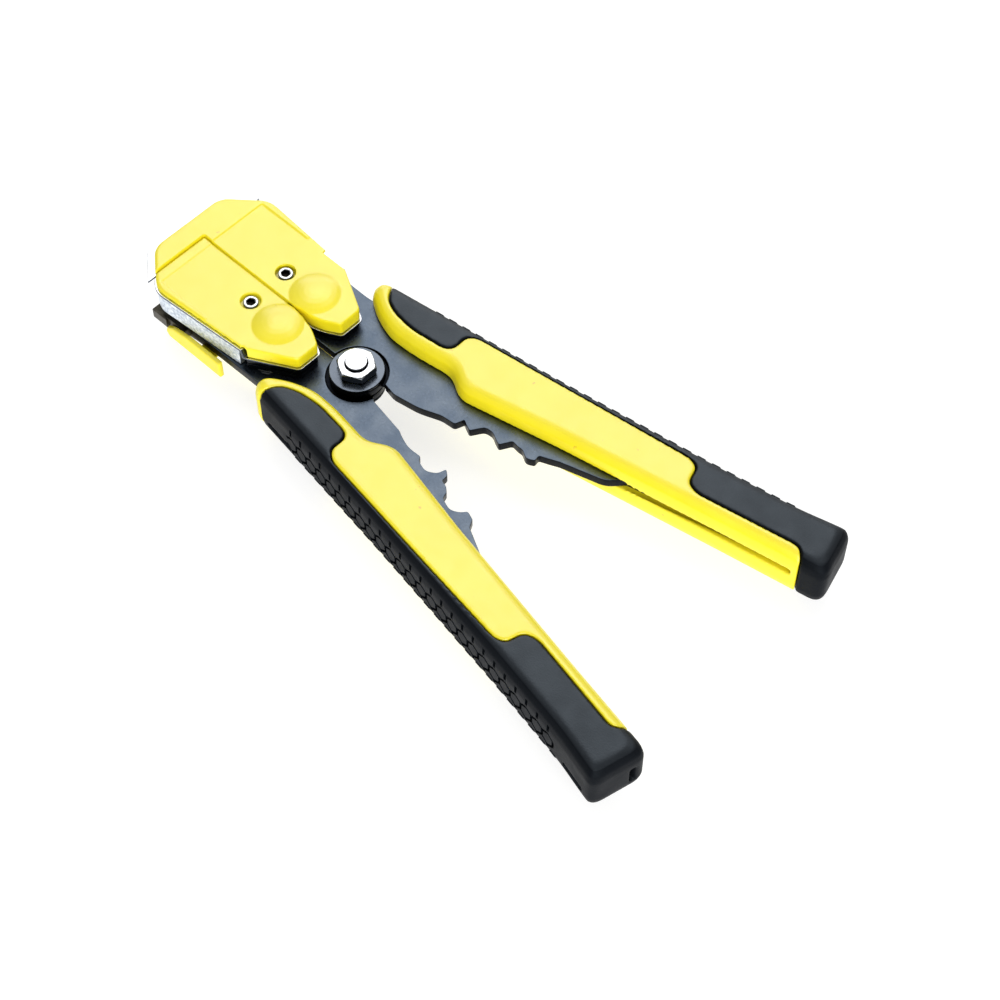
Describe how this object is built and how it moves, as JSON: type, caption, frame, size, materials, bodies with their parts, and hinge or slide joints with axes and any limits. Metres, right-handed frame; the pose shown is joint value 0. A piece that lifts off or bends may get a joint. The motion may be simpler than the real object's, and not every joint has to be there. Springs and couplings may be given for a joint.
{
  "type": "wire stripper",
  "caption": "Self-adjusting wire stripper with two spring-opened handles, gripping and cutting jaws in a split head, a crimping throat and a sliding wire stop.",
  "frame": {"origin": "centre of the pivot bolt's flat end face", "axes": "+X from the pivot to the mouth of the head, +Y to the handle that carries the wire stop, +Z out of the pivot bolt's end face; the tool lies in the XY plane with its handles open"},
  "size_m": [0.2074, 0.1002, 0.0248],
  "materials": {
    "yellow_plastic": "moulded, light gloss",
    "black_rubber": "matt, moulded tread on the outer side",
    "blackened_steel": "satin black oxide",
    "dark_steel": "black oxide",
    "jaw_steel": "ground, dark",
    "bright_steel": "bright nickel plating",
    "cast_zinc": "as cast",
    "tool_steel": "ground",
    "spring_steel": "plain wire"
  },
  "bodies": {
    "left_handle": {"lever_left": "blackened_steel", "grip_core_left": "yellow_plastic", "grip_sleeve_left": "black_rubber", "stack_rivet_left": "dark_steel", "jaw_spring_left": "spring_steel", "cover_left_upper": "yellow_plastic", "cover_screw_left_upper": "bright_steel", "base_plate_left_upper": "bright_steel", "jaw_housing_left_upper": "cast_zinc", "tail_plate_left_upper_1": "dark_steel", "tail_plate_left_upper_2": "dark_steel", "jaw_pin_left_upper": "tool_steel", "cover_left_lower": "yellow_plastic", "cover_screw_left_lower": "bright_steel", "base_plate_left_lower": "bright_steel", "jaw_housing_left_lower": "jaw_steel", "tail_plate_left_lower_1": "dark_steel", "tail_plate_left_lower_2": "dark_steel", "jaw_pin_left_lower": "tool_steel", "pivot_bolt": "bright_steel", "pivot_nut": "bright_steel", "pivot_collar_upper": "blackened_steel", "pivot_collar_lower": "blackened_steel", "return_spring": "spring_steel"},
    "right_handle": {"lever_right": "blackened_steel", "grip_core_right": "yellow_plastic", "grip_sleeve_right": "black_rubber", "stack_rivet_right": "dark_steel", "jaw_spring_right": "spring_steel", "cover_right_upper": "yellow_plastic", "cover_screw_right_upper": "bright_steel", "base_plate_right_upper": "bright_steel", "jaw_housing_right_upper": "cast_zinc", "tail_plate_right_upper_1": "dark_steel", "tail_plate_right_upper_2": "dark_steel", "jaw_pin_right_upper": "tool_steel", "cover_right_lower": "yellow_plastic", "cover_screw_right_lower": "bright_steel", "base_plate_right_lower": "bright_steel", "jaw_housing_right_lower": "jaw_steel", "tail_plate_right_lower_1": "dark_steel", "tail_plate_right_lower_2": "dark_steel", "jaw_pin_right_lower": "tool_steel"},
    "upper_left_jaw": {"jaw_left_upper": "jaw_steel", "blade_upper": "tool_steel"},
    "lower_left_jaw": {"jaw_left_lower": "jaw_steel", "blade_lower": "tool_steel"},
    "upper_right_jaw": {"jaw_right_upper": "jaw_steel", "gripping_pad_upper": "tool_steel"},
    "lower_right_jaw": {"jaw_right_lower": "jaw_steel", "gripping_pad_lower": "tool_steel"},
    "left_wedge": {"jaw_wedge_left": "tool_steel"},
    "right_wedge": {"jaw_wedge_right": "tool_steel"},
    "wire_stop": {"wire_stop": "yellow_plastic"}
  },
  "joints": [
    {"name": "handle_pivot", "type": "hinge", "parent": "left_handle", "child": "right_handle", "pos_m": [0, 0, -0.0074], "axis": [0, 0, -1], "range_deg": [0, 20], "stiffness_Nm_per_rad": 2, "springref_deg": -14.32, "deforming": ["return_spring"]},
    {"name": "jaw_hinge_left_upper", "type": "hinge", "parent": "left_handle", "child": "upper_left_jaw", "pos_m": [0.031, 0.01, -0.0032], "axis": [0, 1, 0], "range_deg": [0, 3.6], "deforming": ["jaw_spring_left"]},
    {"name": "jaw_hinge_left_lower", "type": "hinge", "parent": "left_handle", "child": "lower_left_jaw", "pos_m": [0.031, 0.01, -0.0116], "axis": [0, -1, 0], "range_deg": [0, 3.6]},
    {"name": "jaw_hinge_right_upper", "type": "hinge", "parent": "right_handle", "child": "upper_right_jaw", "pos_m": [0.031, -0.01, -0.0032], "axis": [0, 1, 0], "range_deg": [0, 3.6], "deforming": ["jaw_spring_right"]},
    {"name": "jaw_hinge_right_lower", "type": "hinge", "parent": "right_handle", "child": "lower_right_jaw", "pos_m": [0.031, -0.01, -0.0116], "axis": [0, -1, 0], "range_deg": [0, 3.6]},
    {"name": "wedge_slide_left", "type": "slide", "parent": "left_handle", "child": "left_wedge", "axis": [1, 0, 0], "range_m": [0, 0.002]},
    {"name": "wedge_slide_right", "type": "slide", "parent": "right_handle", "child": "right_wedge", "axis": [1, 0, 0], "range_m": [0, 0.002]},
    {"name": "wire_stop_slide", "type": "slide", "parent": "left_handle", "child": "wire_stop", "axis": [0, 1, 0], "range_m": [0, 0.008]}
  ],
  "couplings": [
    {"joint": "jaw_hinge_left_upper", "follows": "handle_pivot", "ratio": 0.18},
    {"joint": "jaw_hinge_left_lower", "follows": "handle_pivot", "ratio": 0.18},
    {"joint": "jaw_hinge_right_upper", "follows": "handle_pivot", "ratio": 0.18},
    {"joint": "jaw_hinge_right_lower", "follows": "handle_pivot", "ratio": 0.18},
    {"joint": "wedge_slide_left", "follows": "handle_pivot", "m_per_rad": 0.0057},
    {"joint": "wedge_slide_right", "follows": "handle_pivot", "m_per_rad": 0.0057}
  ]
}
